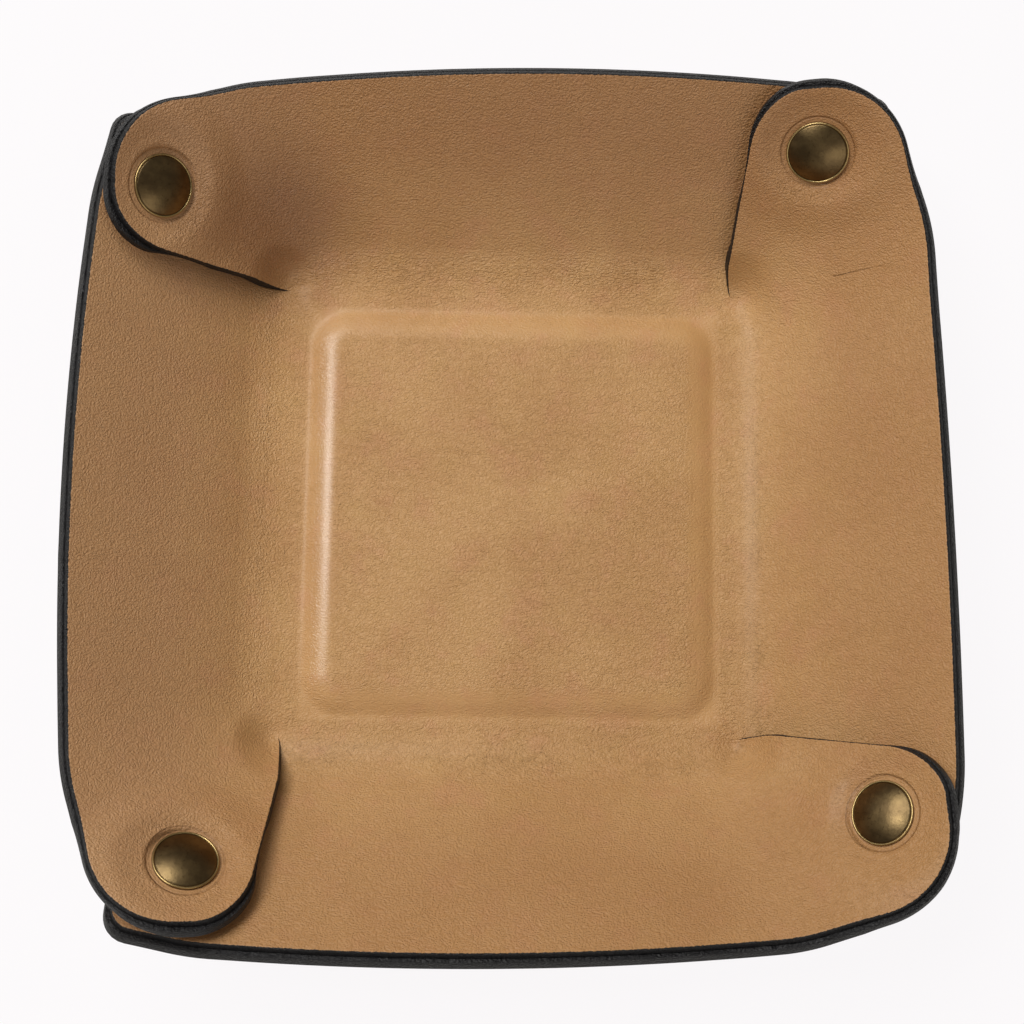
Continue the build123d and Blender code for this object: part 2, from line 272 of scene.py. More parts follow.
def resample(points, count):
    """The same line with evenly spaced points."""
    points = np.asarray(points, float)
    steps = np.concatenate([[0.0], np.cumsum(np.linalg.norm(np.diff(points, axis=0), axis=1))])
    at = np.linspace(0.0, steps[-1], count)
    return np.stack([np.interp(at, steps, points[:, k]) for k in range(points.shape[1])], axis=1)


def arc(centre, radius, start, stop, count):
    angles = np.linspace(start, stop, count)
    return np.stack([centre[0] + radius * np.cos(angles), centre[1] + radius * np.sin(angles)], axis=1)


def rim_y(side, x):
    """The rim's distance from the centre, from the lobe's line to the tip's."""
    reach, lean, drop, turning = RIM[side]
    return reach + lean * x - drop * x * x - turning * np.maximum(-x - RIM_TURN, 0.0) ** 2


def rim_slope(side, x):
    """How the rim's distance changes along it."""
    _, lean, drop, turning = RIM[side]
    return lean - 2 * drop * x + 2 * turning * max(-x - RIM_TURN, 0.0)


def rounded_line(points, rounds):
    """A line through points with an arc at each inner one."""
    points = [np.asarray(p, float) for p in points]
    path = [points[0][None]]
    for before, corner, after, radius in zip(points, points[1:], points[2:], rounds):
        to_before = (before - corner) / np.linalg.norm(before - corner)
        to_after = (after - corner) / np.linalg.norm(after - corner)
        half_angle = acos(float(np.clip(to_before @ to_after, -1.0, 1.0))) / 2
        bisector = (to_before + to_after) / np.linalg.norm(to_before + to_after)
        centre = corner + bisector * radius / sin(half_angle)
        tangent = radius / tan(half_angle)
        start = atan2(*(corner + to_before * tangent - centre)[::-1])
        turn = pi - 2 * half_angle
        side = np.sign(to_before[0] * to_after[1] - to_before[1] * to_after[0])
        path.append(arc(centre, radius, start, start - side * turn, 41))
    path.append(points[-1][None])
    return resample(np.concatenate(path), 1201)


def nearest(path, place):
    """Index of a path's point that is nearest to a place."""
    return int(np.argmin(np.linalg.norm(path - np.array(place), axis=1)))


def wall_outline(side, across, along):
    """Bottom, right, top and left edges of a wall in plan."""
    slit = np.array([SLIT_END, SLIT_END])
    xs = np.linspace(-LOBE_LINE, LOBE_LINE, 90)
    rim = np.stack([xs, rim_y(side, xs)], axis=1)
    shoulder = rim[-1] + np.array([TIP_SHOULDER, TIP_SHOULDER * rim_slope(side, LOBE_LINE)])
    tip = rounded_line([slit, *TIP[side], shoulder, rim[-1]], TIP_ROUNDS)
    at = nearest(tip, TIP[side][1])
    beside_slit, at_rim = tip[:at + 1], tip[at:]
    bottom = line((-SLIT_END, SLIT_END), slit, across)
    right = resample(beside_slit, along)
    top = resample(np.concatenate([rim, at_rim[::-1][1:]]), across)
    left = line((-SLIT_END, SLIT_END), rim[0], along)
    return bottom, right, top, left


def lobe_outline(side, across, along):
    """Bottom (free) edge, right (root), top (rim) and left (round end) edges of a lobe in plan."""
    slit = np.array([-SLIT_END, SLIT_END])
    rim_end = np.array([-LOBE_LINE, float(rim_y(side, -LOBE_LINE))])
    _, lower, upper = LOBE[side]
    shoulder = rim_end - np.array([SHOULDER, SHOULDER * rim_slope(side, -LOBE_LINE)])
    path = rounded_line([slit, *LOBE[side], shoulder, rim_end], LOBE_ROUNDS)
    low, high = nearest(path, lower), nearest(path, upper)
    bottom = resample(path[:low + 1], across)[::-1]
    left = resample(path[low:high + 1], along)
    top = resample(path[high:], across)
    return bottom, line(slit, rim_end, along), top, left


def coons(bottom, right, top, left):
    """A grid of plan places that fills four edges: rows go up, columns go right."""
    across, along = len(bottom), len(left)
    u = np.linspace(0.0, 1.0, across)[None, :, None]
    v = np.linspace(0.0, 1.0, along)[:, None, None]
    ruled = (1 - v) * bottom[None] + v * top[None] + (1 - u) * left[:, None] + u * right[:, None]
    corners = (
        (1 - u) * (1 - v) * bottom[0] + u * (1 - v) * bottom[-1]
        + (1 - u) * v * top[0] + u * v * top[-1]
    )
    return ruled - corners


def surface(plan, height):
    """Places and upward normals of the inner face over a grid in plan."""
    x, y = plan[..., 0], plan[..., 1]
    step = 0.05
    gx = (height(x + step, y) - height(x - step, y)) / (2 * step)
    gy = (height(x, y + step) - height(x, y - step)) / (2 * step)
    normal = np.stack([-gx, -gy, np.ones_like(gx)], axis=-1)
    normal /= np.linalg.norm(normal, axis=-1, keepdims=True)
    place = np.stack([x, y, height(x, y) + LEATHER], axis=-1)
    return place, normal


def lining_profile(thickness):
    """Steps out and down from the top face's border, round the cut edge."""
    round_steps = [
        (EDGE_ROUND * sin(a), EDGE_ROUND * (1 - cos(a))) for a in np.radians([15, 30, 45, 60, 75, 90])
    ]
    return round_steps + [(EDGE_ROUND, thickness * 0.6), (EDGE_ROUND, thickness - GROOVE),
                          (EDGE_ROUND - GROOVE, thickness)]


def outer_profile(thickness):
    """The lining's steps upside down, for the outer leather's cut edge."""
    return [(b, thickness - a) for b, a in reversed(lining_profile(thickness))]


def distance_to_cut(place, border):
    """How far each place of a grid is from the cut edge."""
    edge_points = place[border]
    if not len(edge_points):
        return np.full(border.shape, FAR)
    flat = place.reshape(-1, 3)
    distance = np.full(len(flat), np.inf)
    for k in range(0, len(edge_points), 64):
        block = np.linalg.norm(flat[:, None] - edge_points[None, k:k + 64], axis=2)
        distance = np.minimum(distance, block.min(axis=1))
    return distance.reshape(border.shape)


def outward_directions(loops, home, border, seam_end, slope):
    """The way out of the leather at each vertex of its border, and none where two stretches meet.

    At the seam's end the cut edge runs on in the next stretch, along the rim's slope."""
    outward = {}
    for vert in loops:
        p, n, spot = home[vert]
        if not border[spot]:
            outward[vert] = Vector()
            continue
        ring = [e.other_vert(vert) for e in vert.link_edges if e.is_boundary]
        along_cut = [home[v][0] for v in ring if border[home[v][2]]]
        tangent = along_cut[-1] - (along_cut[0] if len(along_cut) == 2 else p)
        if spot == seam_end:
            tangent = Vector((1.0, slope, -(n.x + slope * n.y) / n.z))
        inner = [home[e.other_vert(vert)][0] for e in vert.link_edges if not e.is_boundary]
        inside = inner or [home[v][0] for v in ring]
        aside = tangent.cross(n).normalized()
        middle = sum(inside, Vector()) / len(inside)
        outward[vert] = aside if aside.dot(p - middle) > 0 else -aside
    return outward


def set_normals(mesh, on_edge, edge_normals, top_normals):
    """Known normals at the border, so that neighbouring stretches shade as one leather."""
    custom = []
    for polygon in mesh.polygons:
        facing_up = not on_edge[polygon.index] and polygon.normal.z > 0
        known = edge_normals if on_edge[polygon.index] else top_normals if facing_up else {}
        for loop in polygon.loop_indices:
            custom.append(known.get(mesh.loops[loop].vertex_index, (0.0, 0.0, 0.0)))
    mesh.normals_split_custom_set(custom)


def leather_piece(name, plan, height, cut, layer, side, material, edge=None, seam_end=None):
    """One leather of one stretch of the tray: top face, cut edges and under face.

    Over the grid, edge gives how far the outer leather stands out past the lining and the share of
    the swell. The seam's end is the grid's corner where the rim runs on in the next stretch."""
    turns = SIDES.index(side)
    top_depth, thickness = {"lining": (0.0, LINING), "outer": (LINING, OUTER)}[layer]
    rows, columns = plan.shape[:2]
    place, normal = surface(plan, height)
    place = place - normal * top_depth
    border = np.zeros((rows, columns), bool)
    border[0, :] |= "bottom" in cut
    border[-1, :] |= "top" in cut
    border[:, 0] |= "left" in cut
    border[:, -1] |= "right" in cut
    distance = distance_to_cut(place, border)
    lip, swell = np.zeros((rows, columns)), np.zeros((rows, columns))
    if edge is not None and layer == "outer":
        up, along = np.mgrid[0:1:rows * 1j, 0:1:columns * 1j]
        lip, share = edge(up, along)
        swell = SWELL[side] * share * (1.0 - smooth(distance / SWELL_REACH))
    paint_start = PAINT_START[layer]
    steep = np.clip(normal[..., 2], cos(SLOPE), 1.0)
    bend = np.clip(1.0 - np.abs(steep - 0.9) / 0.16, 0.0, 1.0)

    bm = bmesh.new()
    bmesh.ops.create_grid(bm, x_segments=columns - 1, y_segments=rows - 1, size=1.0)
    rest = bm.verts.layers.float_vector.new("rest_place")
    bend_layer = bm.verts.layers.float.new("bend")
    turned_layer = bm.verts.layers.float.new("bend_turned")
    paint_layer = bm.verts.layers.float.new("before_paint")
    ring_layer = bm.verts.layers.float.new("from_snap")
    rubbed_layer = bm.verts.layers.float.new("burnished")
    on_lobe = plan[..., 0].max() < 0
    grid = sorted(bm.verts, key=lambda v: (round(v.co.y, 5), round(v.co.x, 5)))
    turn = Matrix.Rotation(radians(90 * turns), 3, "Z")
    home = {}
    for index, vert in enumerate(grid):
        spot = divmod(index, columns)
        home[vert] = (Vector(place[spot]), Vector(normal[spot]), spot)
        vert.co = turn @ home[vert][0] * MM
        vert[rest] = vert.co
        vert[paint_layer] = float(distance[spot]) + paint_start
        vert[bend_layer] = float(bend[spot])
        vert[turned_layer] = float(turns % 2)
        from_snap = hypot(*in_snap_frame(*home[vert][0])) if on_lobe else FAR
        vert[ring_layer] = from_snap
        rubbed = float(smooth((SEAT_RADIUS + 0.6 - from_snap) / 1.2))
        vert[rubbed_layer] = rubbed if cut else float(burnished(*plan[spot]))
    top_faces = list(bm.faces)
    loops = [v for v in bm.verts if v.is_boundary]
    outward = outward_directions(loops, home, border, seam_end, rim_slope(side, -LOBE_LINE))
    under = bmesh.ops.duplicate(bm, geom=top_faces)
    for vert, (p, n, spot) in home.items():
        low = under["vert_map"][vert]
        low.co = turn @ (p - n * (thickness + swell[spot])) * MM
        low[rest] = low.co
        low[paint_layer] = float(distance[spot]) - PAINT_START["lining"]
    under_faces = [f for f in under["geom"] if isinstance(f, bmesh.types.BMFace)]
    bmesh.ops.reverse_faces(bm, faces=under_faces)
    ring_edges = [e for e in bm.edges if e.is_boundary and e.verts[0] in home and e.verts[1] in home]
    source = {v: v for v in loops}
    edge_faces = []
    run, last = paint_start, (0.0, 0.0)
    deepest = thickness + (SWELL[side] if layer == "outer" else 0.0)
    profile = lining_profile(thickness) if layer == "lining" else outer_profile(deepest)
    steps = [(0.0, 0.0)] + profile + [(0.0, deepest)]
    seam_normals = {}
    for index, (out, down) in enumerate(steps[1:], 1):
        run -= hypot(out - last[0], down - last[1])
        following = steps[min(index + 1, len(steps) - 1)]
        facing = (following[1] - last[1], following[0] - last[0])
        last = (out, down)
        made = bmesh.ops.extrude_edge_only(bm, edges=ring_edges)["geom"]
        edge_faces += [g for g in made if isinstance(g, bmesh.types.BMFace)]
        fresh = {g for g in made if isinstance(g, bmesh.types.BMVert)}
        origin = {}
        for vert in fresh:
            for e in vert.link_edges:
                if e.other_vert(vert) not in fresh:
                    origin[vert] = source[e.other_vert(vert)]
        for vert, above in origin.items():
            p, n, spot = home[above]
            depth = down * (thickness + swell[spot]) / deepest
            stand_out = out + float(lip[spot]) if out > 0 else 0.0
            vert.co = turn @ (p + outward[above] * stand_out - n * depth) * MM
            vert[rest] = vert.co
            vert[paint_layer] = run if border[spot] else float(distance[spot])
            vert[bend_layer] = above[bend_layer]
            vert[turned_layer] = above[turned_layer]
            vert[ring_layer] = FAR
            if spot == seam_end:
                seam_normals[vert] = turn @ (outward[above] * facing[0] + n * facing[1]).normalized()
        source = origin
        ring_edges = [
            g for g in made
            if isinstance(g, bmesh.types.BMEdge) and g.verts[0] in fresh and g.verts[1] in fresh
        ]
    edge_set = set(edge_faces)
    bmesh.ops.remove_doubles(bm, verts=bm.verts, dist=1e-7)
    bmesh.ops.recalc_face_normals(bm, faces=bm.faces)
    for face in bm.faces:
        face.smooth = True
    # Where two stretches of the tray meet there is no cut edge, only a hidden end
    seam = {v for v in loops if v.is_valid and not border[home[v][2]]}
    for edge in bm.edges:
        kinds = {f in edge_set for f in edge.link_faces}
        if len(kinds) == 2 and edge.verts[0] in seam and edge.verts[1] in seam:
            edge.smooth = False
    mesh = bpy.data.meshes.new(name)
    bm.verts.index_update()
    top_normals = {v.index: turn @ home[v][1] for v in loops if v.is_valid}
    edge_normals = {v.index: seam_normals[v] for v in seam_normals if v.is_valid}
    on_edge = [f in edge_set for f in bm.faces]
    bm.to_mesh(mesh)
    bm.free()
    mesh.materials.append(material)
    set_normals(mesh, on_edge, edge_normals, top_normals)
    piece = bpy.data.objects.new(name, mesh)
    bpy.context.scene.collection.objects.link(piece)
    return piece


class Signal:
    """A shader value that can be used in sums; its methods add the matching node."""

    def __init__(self, tree, socket):
        self.tree, self.socket = tree, socket

    def math(self, operation, first, second):
        return node(self.tree, "ShaderNodeMath", {"operation": operation}, {0: first, 1: second})

    def __add__(self, other):
        return self.math("ADD", self, other)

    def __sub__(self, other):
        return self.math("SUBTRACT", self, other)

    def __rsub__(self, other):
        return self.math("SUBTRACT", other, self)

    def __mul__(self, other):
        return self.math("MULTIPLY", self, other)

    __radd__ = __add__
    __rmul__ = __mul__

    def ramp(self, low, high, start=0.0, stop=1.0):
        """A soft step from start at low to stop at high."""
        settings = {"interpolation_type": "SMOOTHSTEP"}
        values = {"Value": self, "From Min": low, "From Max": high, "To Min": start, "To Max": stop}
        return node(self.tree, "ShaderNodeMapRange", settings, values, "Result")


def feed(tree, socket, value):
    if isinstance(value, Signal):
        tree.links.new(value.socket, socket)
    else:
        socket.default_value = value


def node(tree, kind, settings, values, output=0):
    made = tree.nodes.new(kind)
    for name, value in settings.items():
        setattr(made, name, value)
    for name, value in values.items():
        feed(tree, made.inputs[name], value)
    return Signal(tree, made.outputs[output])


def mix_colour(tree, share, first, second, blend="MIX"):
    colours = [value if isinstance(value, Signal) else (*value, 1.0) for value in (first, second)]
    settings = {"data_type": "RGBA", "blend_type": blend}
    return node(tree, "ShaderNodeMix", settings, {0: share, 6: colours[0], 7: colours[1]}, 2)


def vector(tree, operation, first, second):
    return node(tree, "ShaderNodeVectorMath", {"operation": operation}, {0: first, 1: second})


def attribute(tree, name, output="Fac"):
    return node(tree, "ShaderNodeAttribute", {"attribute_name": name}, {}, output)


def noise(tree, place, scale, detail=2.0, roughness=0.5, stretch=(1.0, 1.0, 1.0), output="Fac"):
    stretched = vector(tree, "MULTIPLY", place, stretch)
    values = {"Vector": stretched, "Scale": scale, "Detail": detail, "Roughness": roughness}
    return node(tree, "ShaderNodeTexNoise", {}, values, output)


def pebbles(tree, place, scale, stretch=(1.0, 1.0, 1.0)):
    stretched = vector(tree, "MULTIPLY", place, stretch)
    values = {"Vector": stretched, "Scale": scale}
    return node(tree, "ShaderNodeTexVoronoi", {"feature": "F1"}, values, "Distance")


def bump(tree, height, distance):
    values = {"Height": height, "Distance": distance, "Strength": 1.0}
    return node(tree, "ShaderNodeBump", {}, values, "Normal")


def new_material(name):
    material = bpy.data.materials.new(name)
    material.use_nodes = True
    tree = material.node_tree
    tree.nodes.clear()
    shader = tree.nodes.new("ShaderNodeBsdfPrincipled")
    output = tree.nodes.new("ShaderNodeOutputMaterial")
    tree.links.new(shader.outputs[0], output.inputs["Surface"])
    return material, tree, shader


# Grain: features per metre, and depth in metres
WRINKLE_SCALE = 2300.0
TOOTH_SCALE = 4200.0
GRAIN_DEPTH = 0.00095


def srgb(*values):
    return tuple(((v / 255 + 0.055) / 1.055) ** 2.4 if v > 10 else v / 255 / 12.92 for v in values)


def tanned_leather(name, tan, deep):
    """Natural vegetable-tanned leather, wrinkled along its bends, with its cut edges painted dark."""
    material, tree, shader = new_material(name)
    place = attribute(tree, "rest_place", "Vector")
    bend = attribute(tree, "bend")
    turned = attribute(tree, "bend_turned")
    before_paint = attribute(tree, "before_paint") * MM
    height = node(tree, "ShaderNodeSeparateXYZ", {}, {"Vector": place}, "Z")
    back = node(tree, "ShaderNodeSeparateXYZ", {}, {"Vector": place}, "Y")

    drift = noise(tree, place, 420.0, 2.0, 0.5, output="Color")
    drift = vector(tree, "SUBTRACT", drift, (0.5, 0.5, 0.5))
    wavy = vector(tree, "ADD", place, vector(tree, "MULTIPLY", drift, (0.0016, 0.0016, 0.0016)))

    # Grain: short wrinkles that deepen in the bends, fine pebbles between them, and a fine tooth
    rubbed = attribute(tree, "burnished")
    sideways = noise(tree, wavy, WRINKLE_SCALE, 2.0, 0.55, (0.42, 1.0, 0.9))
    lengthways = noise(tree, wavy, WRINKLE_SCALE, 2.0, 0.55, (1.0, 0.42, 0.9))
    in_turned_bend = turned * bend
    wrinkles = sideways * (1.0 - in_turned_bend) + lengthways * in_turned_bend
    pebble = 1.0 - pebbles(tree, wavy, WRINKLE_SCALE, (0.75, 1.0, 1.0))
    tooth = noise(tree, place, TOOTH_SCALE, 2.0, 0.6)
    soft = noise(tree, place, 330.0, 2.0, 0.5)
    patchy = noise(tree, place, 55.0, 2.0, 0.5).ramp(0.35, 0.65, 0.45, 1.15)
    relief = wrinkles * (bend * 0.55 + 0.17) * patchy + pebble * 0.26 + tooth * 0.10 + soft * 0.10
    relief = relief * (1.0 - rubbed * 0.6)

    # Tone: pinkish and yellowish clouds at random, and painted shade that makes the walls darker than
    # the floor
    clouds = noise(tree, place, 42.0, 3.0, 0.6)
    blush = noise(tree, place, 120.0, 3.0, 0.55)
    tone = mix_colour(tree, clouds.ramp(0.36, 0.66), tan, deep)
    tone = mix_colour(tree, blush.ramp(0.50, 0.72, 0.0, 0.30), tone, srgb(194, 138, 102))
    tone = mix_colour(tree, blush.ramp(0.48, 0.26, 0.0, 0.22), tone, srgb(188, 150, 90))
    # Painted shade: darker and browner higher up the walls, for the lesser light they get
    tone = mix_colour(tree, height.ramp(0.006, 0.030, 0.0, 0.55), tone, srgb(166, 120, 74))
    # Painted shade: the back wall, which faces away from the light, darker still
    tone = mix_colour(tree, back.ramp(0.055, 0.095, 0.0, 0.25), tone, srgb(140, 92, 60))
    side = node(tree, "ShaderNodeSeparateXYZ", {}, {"Vector": place}, "X")
    # Painted sheen: the left wall lighter and greyer, for the light it catches from the left
    tone = mix_colour(tree, side.ramp(-0.055, -0.085, 0.0, 0.30), tone, srgb(194, 156, 122))
    # Painted shade: a dark patch beside the slit at the corner (-X, +Y), where the lobe's root faces
    # away from the light
    slit = vector(tree, "SUBTRACT", place, (-0.0605, 0.0690, 0.0160))
    from_painted_shade = node(tree, "ShaderNodeVectorMath", {"operation": "LENGTH"}, {0: slit}, "Value")
    tone = mix_colour(tree, from_painted_shade.ramp(0.032, 0.004, 0.0, 0.62), tone, srgb(112, 68, 38))
    # Painted shade in the grain's hollows: darker where the relief is low, less so where rubbed or
    # bent
    grain_hollow_shade = (wrinkles * 0.5 + pebble * 0.5).ramp(0.62, 0.40, 0.0, 0.12)
    grain_hollow_shade = grain_hollow_shade * (1.0 - rubbed * 0.8) * (1.0 - bend * 0.8)
    tone = mix_colour(tree, grain_hollow_shade, tone, srgb(120, 78, 44))
    from_snap = attribute(tree, "from_snap")
    ring = from_snap.ramp(8.2, 8.65) * from_snap.ramp(9.1, 8.65)
    # Painted shade: a darker ring in the groove round the cap's seat
    tone = mix_colour(tree, ring * 0.30, tone, srgb(120, 78, 46))
    ragged = (noise(tree, place, 1500.0, 2.0, 0.6) - 0.5) * 0.00045
    painted = (ragged - before_paint).ramp(-0.00004, 0.00008)
    dusty = noise(tree, place, 700.0, 3.0, 0.6)
    paint = mix_colour(tree, dusty.ramp(0.35, 0.7), srgb(7, 6, 8), srgb(13, 12, 16))
    feed(tree, shader.inputs["Base Color"], mix_colour(tree, painted, tone, paint))

    # Only the raised square's left slope is polished
    polished = rubbed * side.ramp(-0.0410, -0.0440) * side.ramp(-0.0500, -0.0485)
    polished = polished * back.ramp(0.0465, 0.0420) * back.ramp(-0.0465, -0.0420)
    worn = 0.50 + (tooth - 0.5) * 0.16 + (clouds - 0.5) * 0.10 - polished * 0.20 - bend * 0.08
    paint_roughness = 0.50 + (tooth - 0.5) * 0.3
    feed(tree, shader.inputs["Roughness"], worn * (1.0 - painted) + paint_roughness * painted)
    feed(tree, shader.inputs["Coat Weight"], (0.12 + polished * 0.70) * (1.0 - painted) + 0.02)
    shader.inputs["Coat Roughness"].default_value = 0.26
    shader.inputs["Specular IOR Level"].default_value = 0.40
    feed(tree, shader.inputs["Normal"], bump(tree, relief - ring * 0.25, GRAIN_DEPTH))
    return material


def antique_brass(name, worn, rubbed_by=None):
    """Browned brass, brighter where it is rubbed: on its ridges, or where an attribute says so."""
    material, tree, shader = new_material(name)
    place = node(tree, "ShaderNodeTexCoord", {}, {}, "Object")
    cloud = noise(tree, place, 260.0, 3.0, 0.6)
    fine = noise(tree, place, 2600.0, 3.0, 0.6)
    specks = noise(tree, place, 1100.0, 4.0, 0.7)
    ridges = node(tree, "ShaderNodeNewGeometry", {}, {}, "Pointiness").ramp(0.51, 0.60)
    rubbed = attribute(tree, rubbed_by) if rubbed_by else ridges
    tone = mix_colour(tree, cloud.ramp(0.35, 0.70), srgb(92, 76, 52), srgb(112, 94, 64))
    tone = mix_colour(tree, rubbed * worn, tone, srgb(198, 172, 118))
    tone = mix_colour(tree, specks.ramp(0.54, 0.70, 0.0, 0.5), tone, srgb(64, 50, 32))
    feed(tree, shader.inputs["Base Color"], tone)
    shader.inputs["Metallic"].default_value = 1.0
    feed(tree, shader.inputs["Roughness"], 0.34 + (fine - 0.5) * 0.16 + (cloud - 0.5) * 0.12)
    feed(tree, shader.inputs["Normal"], bump(tree, fine * 0.5 + specks, 0.00003))
    return material


def spring_steel(name):
    """Bare drawn wire."""
    material, tree, shader = new_material(name)
    place = node(tree, "ShaderNodeTexCoord", {}, {}, "Object")
    drawn = noise(tree, place, 3000.0, 2.0, 0.6)
    tone = mix_colour(tree, drawn, srgb(150, 148, 144), srgb(188, 186, 180))
    feed(tree, shader.inputs["Base Color"], tone)
    shader.inputs["Metallic"].default_value = 1.0
    feed(tree, shader.inputs["Roughness"], 0.28 + drawn * 0.14)
    return material


def pulp_board(name):
    """Grey-brown board of pressed fibre."""
    material, tree, shader = new_material(name)
    place = node(tree, "ShaderNodeTexCoord", {}, {}, "Object")
    fibre = noise(tree, place, 700.0, 4.0, 0.65)
    tone = mix_colour(tree, fibre.ramp(0.35, 0.68), srgb(150, 136, 112), srgb(116, 102, 82))
    feed(tree, shader.inputs["Base Color"], tone)
    feed(tree, shader.inputs["Roughness"], 0.78 + (fibre - 0.5) * 0.2)
    feed(tree, shader.inputs["Normal"], bump(tree, fibre, 0.0002))
    return material


lining_leather = tanned_leather("lining_leather", srgb(193, 150, 99), srgb(185, 141, 91))
outer_leather = tanned_leather("outer_leather", srgb(187, 144, 94), srgb(177, 134, 85))
cap_brass = antique_brass("cap_brass", 0.6, "rubbed")
snap_brass = antique_brass("snap_brass", 0.4)
spring_wire = spring_steel("spring_wire")
stiffener = pulp_board("stiffener_board")

# Leather of the floor, the walls and the lobes. Neighbouring grids share their counts, so that
# no crack opens between them.
FLOOR_CELLS = 128
WALL_ACROSS, WALL_ALONG = FLOOR_CELLS + 1, 77
LOBE_ACROSS, LOBE_ALONG = 101, WALL_ALONG


def wall_edge(side):
    """How the outer leather stands out and swells: full along the rim, nothing at the slit end."""
    return lambda up, along: (LIP[side] * smooth((up - 0.05) / 0.35), smooth((up - 0.02) / 0.3))


def lobe_edge(side):
    """As the wall's at the root, the lobe's own round its end, nothing along most of the free edge."""
    def at(up, along):
        root = smooth(along / (0.4 + 0.5 * up))
        at_rim = smooth((up - 0.3) / 0.4)
        lip = np.interp(up, (0.0, 0.5, 1.0), LOBE_LIP[side]) * (1.0 - root) + LIP[side] * at_rim * root
        return lip, LOBE_SWELL * (1.0 - root) + at_rim * root
    return at


floor_line = line((-SLIT_END, -SLIT_END), (SLIT_END, -SLIT_END), FLOOR_CELLS + 1)
floor_plan = coons(
    floor_line,
    line((SLIT_END, -SLIT_END), (SLIT_END, SLIT_END), FLOOR_CELLS + 1),
    floor_line + np.array([0.0, 2 * SLIT_END]),
    line((-SLIT_END, -SLIT_END), (-SLIT_END, SLIT_END), FLOOR_CELLS + 1),
)

for layer, skin in {"lining": lining_leather, "outer": outer_leather}.items():
    slot = layer + "_leather"
    floor_shape = lining_floor if layer == "lining" else floor_height
    piece = leather_piece(f"floor_{layer}", floor_plan, floor_shape, (), layer, "back", skin)
    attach(piece, "base")
    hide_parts(f"base_{layer}")
    for turns, side in enumerate(SIDES):
        plan = coons(*wall_outline(side, WALL_ACROSS, WALL_ALONG))
        shape = creased_wall_height if side == "left" else wall_height
        piece = leather_piece(
            f"{side}_wall_{layer}", plan, shape, ("right", "top"), layer, side, skin,
            wall_edge(side), (WALL_ALONG - 1, 0),
        )
        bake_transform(piece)
        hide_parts(f"wall_{side}_{layer}")
        plan = coons(*lobe_outline(side, LOBE_ACROSS, LOBE_ALONG))
        cut = ("bottom", "top", "left")
        piece = leather_piece(
            f"{side}_lobe_{layer}", plan, lobe_height, cut, layer, side, skin,
            lobe_edge(side), (LOBE_ALONG - 1, LOBE_ACROSS - 1),
        )
        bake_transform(piece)
        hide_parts(f"lobe_{side}_{layer}")

# Caps: a shallow dome with a rolled bead, on a shank that is rolled over in the socket
CAP_RADIUS = 7.5
CAP_DOME = 6.9                # radius of the dome inside the bead
CAP_CROWN = 1.55
BEAD_TOP = 0.42
CAP_SEAT = -SEAT
SHANK_RADIUS = 1.6
ROLL_RADIUS = 2.3
ROLL_TOP = -3.8
ROLL_BOTTOM = -4.2
SPIN_STEPS = 96


def cap_section():
    """Half section of a cap as (radius, height) pairs, from the top of the dome to the rolled end."""
    dome_sphere = (CAP_DOME ** 2 + CAP_CROWN ** 2) / (2 * CAP_CROWN)
    widest = acos(1 - CAP_CROWN / dome_sphere)
    angles = np.linspace(0.0, widest, 22)
    foot = BEAD_TOP - 0.12
    dome = [(dome_sphere * sin(a), foot + CAP_CROWN - dome_sphere * (1 - cos(a))) for a in angles]
    bead_radius = (CAP_RADIUS - CAP_DOME - 0.04) / 2
    bead_middle = (CAP_RADIUS - bead_radius, BEAD_TOP - bead_radius)
    bead = [
        (bead_middle[0] + bead_radius * cos(a), bead_middle[1] + bead_radius * sin(a))
        for a in np.radians(np.linspace(165, -20, 12))
    ]
    under = [
        (CAP_RADIUS - 0.02, CAP_SEAT + 0.12), (CAP_RADIUS - 0.14, CAP_SEAT), (SHANK_RADIUS, CAP_SEAT),
        (SHANK_RADIUS, ROLL_TOP), (ROLL_RADIUS - 0.15, ROLL_TOP), (ROLL_RADIUS, ROLL_TOP - 0.15),
        (ROLL_RADIUS - 0.15, ROLL_BOTTOM), (0.0, ROLL_BOTTOM),
    ]
    return dome + bead + under


def spun_piece(name, section, side, material):
    """A turned piece on the snap's axis of one corner."""
    bm = bmesh.new()
    rubbed = bm.verts.layers.float.new("rubbed")
    points = [bm.verts.new((radius * MM, 0.0, height * MM)) for radius, height in section]
    for point, (radius, height) in zip(points, section):
        point[rubbed] = float(radius > CAP_DOME + 0.05 and height > 0.1)
    edges = [bm.edges.new(pair) for pair in zip(points, points[1:])]
    bmesh.ops.spin(
        bm, geom=points + edges, cent=(0, 0, 0), axis=(0, 0, 1), angle=2 * pi, steps=SPIN_STEPS,
        use_merge=True, use_duplicate=False,
    )
    bmesh.ops.remove_doubles(bm, verts=bm.verts, dist=1e-6)
    bmesh.ops.recalc_face_normals(bm, faces=bm.faces)
    snap_frame = Matrix((ACROSS, UP_SLOPE, SNAP_AXIS)).transposed().to_4x4()
    snap_frame.translation = SNAP * MM
    turn = Matrix.Rotation(radians(90 * SIDES.index(side)), 4, "Z")
    bm.transform(turn @ snap_frame)
    mesh = bpy.data.meshes.new(name)
    for face in bm.faces:
        face.smooth = True
    bm.to_mesh(mesh)
    bm.free()
    mesh.set_sharp_from_angle(angle=radians(50))
    mesh.materials.append(material)
    piece = bpy.data.objects.new(name, mesh)
    bpy.context.scene.collection.objects.link(piece)
    return piece


def refinish(node_name, material):
    """Another material for a piece that is carried over."""
    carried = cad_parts[node_name]
    carried.data.materials.clear()
    carried.data.materials.append(material)


